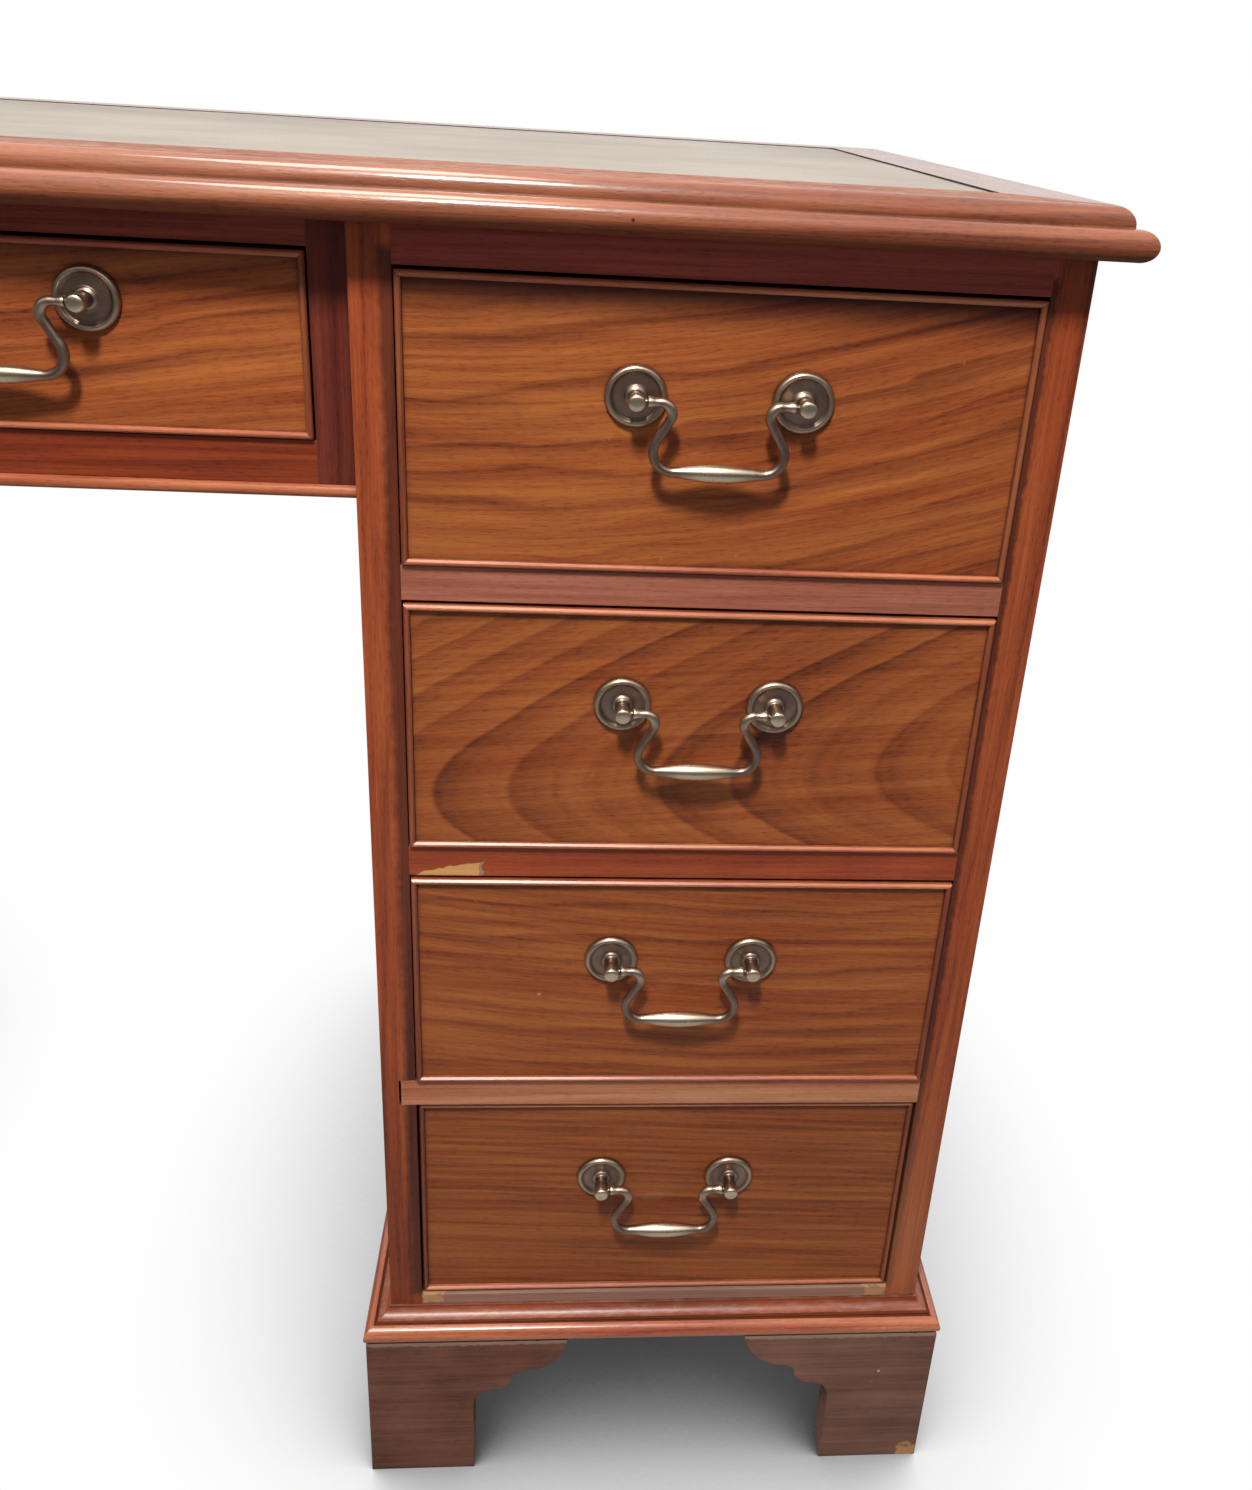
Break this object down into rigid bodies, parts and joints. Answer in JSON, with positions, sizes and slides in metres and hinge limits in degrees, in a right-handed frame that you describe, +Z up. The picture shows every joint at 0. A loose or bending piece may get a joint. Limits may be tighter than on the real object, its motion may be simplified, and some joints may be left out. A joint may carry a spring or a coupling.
{
  "type": "kneehole desk",
  "caption": "Kneehole desk with a leather-lined moulded top on drawer pedestals with bracket feet; drawers slide out and swan-neck bail handles swing.",
  "frame": {"origin": "on the floor, under the middle of the top", "axes": "+X across the desk to the sitter's right, -Y the front that the drawers open towards, +Z up"},
  "size_m": [1.22, 0.527, 0.776],
  "materials": {
    "mahogany": "waxed, straight grain",
    "mahogany_figured": "waxed, figured veneer",
    "mahogany_dark": "worn wax, darkened",
    "drawer_lining": "bare oak",
    "secondary_wood": "bare pine, stained",
    "leather": "faded, fine grain",
    "brass": "aged, dulled in the hollows"
  },
  "bodies": {
    "carcass": {"drawer_runners": "secondary_wood", "drawer_stops": "secondary_wood", "foot_glue_blocks": "secondary_wood", "kneehole_apron_bead": "mahogany", "kneehole_carcass": "secondary_wood", "kneehole_rails": "mahogany", "kneehole_stiles": "mahogany", "leather_inset": "leather", "left_bracket_feet": "mahogany_dark", "left_pedestal_left_side": "mahogany", "left_pedestal_rails": "mahogany", "left_pedestal_right_side": "mahogany", "left_plinth_moulding": "mahogany", "pedestal_backs": "secondary_wood", "pedestal_bottoms": "secondary_wood", "right_bracket_feet": "mahogany_dark", "right_pedestal_left_side": "mahogany", "right_pedestal_rails": "mahogany", "right_pedestal_right_side": "mahogany", "right_plinth_moulding": "mahogany", "top_border": "mahogany", "top_panel": "secondary_wood"},
    "left_drawer_1": {"left_drawer_1_front": "mahogany_figured", "left_drawer_1_box": "drawer_lining", "left_drawer_1_handle_posts": "brass"},
    "left_drawer_1_bail": {"left_drawer_1_bail": "brass"},
    "left_drawer_2": {"left_drawer_2_front": "mahogany_figured", "left_drawer_2_box": "drawer_lining", "left_drawer_2_handle_posts": "brass"},
    "left_drawer_2_bail": {"left_drawer_2_bail": "brass"},
    "left_drawer_3": {"left_drawer_3_front": "mahogany_figured", "left_drawer_3_box": "drawer_lining", "left_drawer_3_handle_posts": "brass"},
    "left_drawer_3_bail": {"left_drawer_3_bail": "brass"},
    "left_drawer_4": {"left_drawer_4_front": "mahogany_figured", "left_drawer_4_box": "drawer_lining", "left_drawer_4_handle_posts": "brass"},
    "left_drawer_4_bail": {"left_drawer_4_bail": "brass"},
    "right_drawer_1": {"right_drawer_1_front": "mahogany_figured", "right_drawer_1_box": "drawer_lining", "right_drawer_1_handle_posts": "brass"},
    "right_drawer_1_bail": {"right_drawer_1_bail": "brass"},
    "right_drawer_2": {"right_drawer_2_front": "mahogany_figured", "right_drawer_2_box": "drawer_lining", "right_drawer_2_handle_posts": "brass"},
    "right_drawer_2_bail": {"right_drawer_2_bail": "brass"},
    "right_drawer_3": {"right_drawer_3_front": "mahogany_figured", "right_drawer_3_box": "drawer_lining", "right_drawer_3_handle_posts": "brass"},
    "right_drawer_3_bail": {"right_drawer_3_bail": "brass"},
    "right_drawer_4": {"right_drawer_4_front": "mahogany_figured", "right_drawer_4_box": "drawer_lining", "right_drawer_4_handle_posts": "brass"},
    "right_drawer_4_bail": {"right_drawer_4_bail": "brass"},
    "kneehole_drawer": {"kneehole_drawer_front": "mahogany_figured", "kneehole_drawer_box": "drawer_lining", "kneehole_drawer_handle_posts": "brass"},
    "kneehole_drawer_bail_1": {"kneehole_drawer_bail_1": "brass"},
    "kneehole_drawer_bail_2": {"kneehole_drawer_bail_2": "brass"}
  },
  "joints": [
    {"name": "left_drawer_1_slide", "type": "slide", "parent": "carcass", "child": "left_drawer_1", "axis": [0, -1, 0], "range_m": [0, 0.38]},
    {"name": "left_drawer_1_bail_hinge", "type": "hinge", "parent": "left_drawer_1", "child": "left_drawer_1_bail", "pos_m": [-0.434, -0.251, 0.685], "axis": [-1, 0, 0], "range_deg": [-12, 180]},
    {"name": "left_drawer_2_slide", "type": "slide", "parent": "carcass", "child": "left_drawer_2", "axis": [0, -1, 0], "range_m": [0, 0.38]},
    {"name": "left_drawer_2_bail_hinge", "type": "hinge", "parent": "left_drawer_2", "child": "left_drawer_2_bail", "pos_m": [-0.434, -0.251, 0.534], "axis": [-1, 0, 0], "range_deg": [-12, 180]},
    {"name": "left_drawer_3_slide", "type": "slide", "parent": "carcass", "child": "left_drawer_3", "axis": [0, -1, 0], "range_m": [0, 0.38]},
    {"name": "left_drawer_3_bail_hinge", "type": "hinge", "parent": "left_drawer_3", "child": "left_drawer_3_bail", "pos_m": [-0.434, -0.251, 0.383], "axis": [-1, 0, 0], "range_deg": [-12, 180]},
    {"name": "left_drawer_4_slide", "type": "slide", "parent": "carcass", "child": "left_drawer_4", "axis": [0, -1, 0], "range_m": [0, 0.38]},
    {"name": "left_drawer_4_bail_hinge", "type": "hinge", "parent": "left_drawer_4", "child": "left_drawer_4_bail", "pos_m": [-0.434, -0.247, 0.2255], "axis": [-1, 0, 0], "range_deg": [-12, 180]},
    {"name": "right_drawer_1_slide", "type": "slide", "parent": "carcass", "child": "right_drawer_1", "axis": [0, -1, 0], "range_m": [0, 0.38]},
    {"name": "right_drawer_1_bail_hinge", "type": "hinge", "parent": "right_drawer_1", "child": "right_drawer_1_bail", "pos_m": [0.434, -0.251, 0.685], "axis": [-1, 0, 0], "range_deg": [-12, 180]},
    {"name": "right_drawer_2_slide", "type": "slide", "parent": "carcass", "child": "right_drawer_2", "axis": [0, -1, 0], "range_m": [0, 0.38]},
    {"name": "right_drawer_2_bail_hinge", "type": "hinge", "parent": "right_drawer_2", "child": "right_drawer_2_bail", "pos_m": [0.434, -0.251, 0.534], "axis": [-1, 0, 0], "range_deg": [-12, 180]},
    {"name": "right_drawer_3_slide", "type": "slide", "parent": "carcass", "child": "right_drawer_3", "axis": [0, -1, 0], "range_m": [0, 0.38]},
    {"name": "right_drawer_3_bail_hinge", "type": "hinge", "parent": "right_drawer_3", "child": "right_drawer_3_bail", "pos_m": [0.434, -0.251, 0.383], "axis": [-1, 0, 0], "range_deg": [-12, 180]},
    {"name": "right_drawer_4_slide", "type": "slide", "parent": "carcass", "child": "right_drawer_4", "axis": [0, -1, 0], "range_m": [0, 0.38]},
    {"name": "right_drawer_4_bail_hinge", "type": "hinge", "parent": "right_drawer_4", "child": "right_drawer_4_bail", "pos_m": [0.434, -0.247, 0.2255], "axis": [-1, 0, 0], "range_deg": [-12, 180]},
    {"name": "kneehole_drawer_slide", "type": "slide", "parent": "carcass", "child": "kneehole_drawer", "axis": [0, -1, 0], "range_m": [0, 0.38]},
    {"name": "kneehole_drawer_bail_1_hinge", "type": "hinge", "parent": "kneehole_drawer", "child": "kneehole_drawer_bail_1", "pos_m": [-0.1283, -0.245, 0.71515], "axis": [-1, 0, 0], "range_deg": [-12, 180]},
    {"name": "kneehole_drawer_bail_2_hinge", "type": "hinge", "parent": "kneehole_drawer", "child": "kneehole_drawer_bail_2", "pos_m": [0.1283, -0.245, 0.71515], "axis": [-1, 0, 0], "range_deg": [-12, 180]}
  ]
}
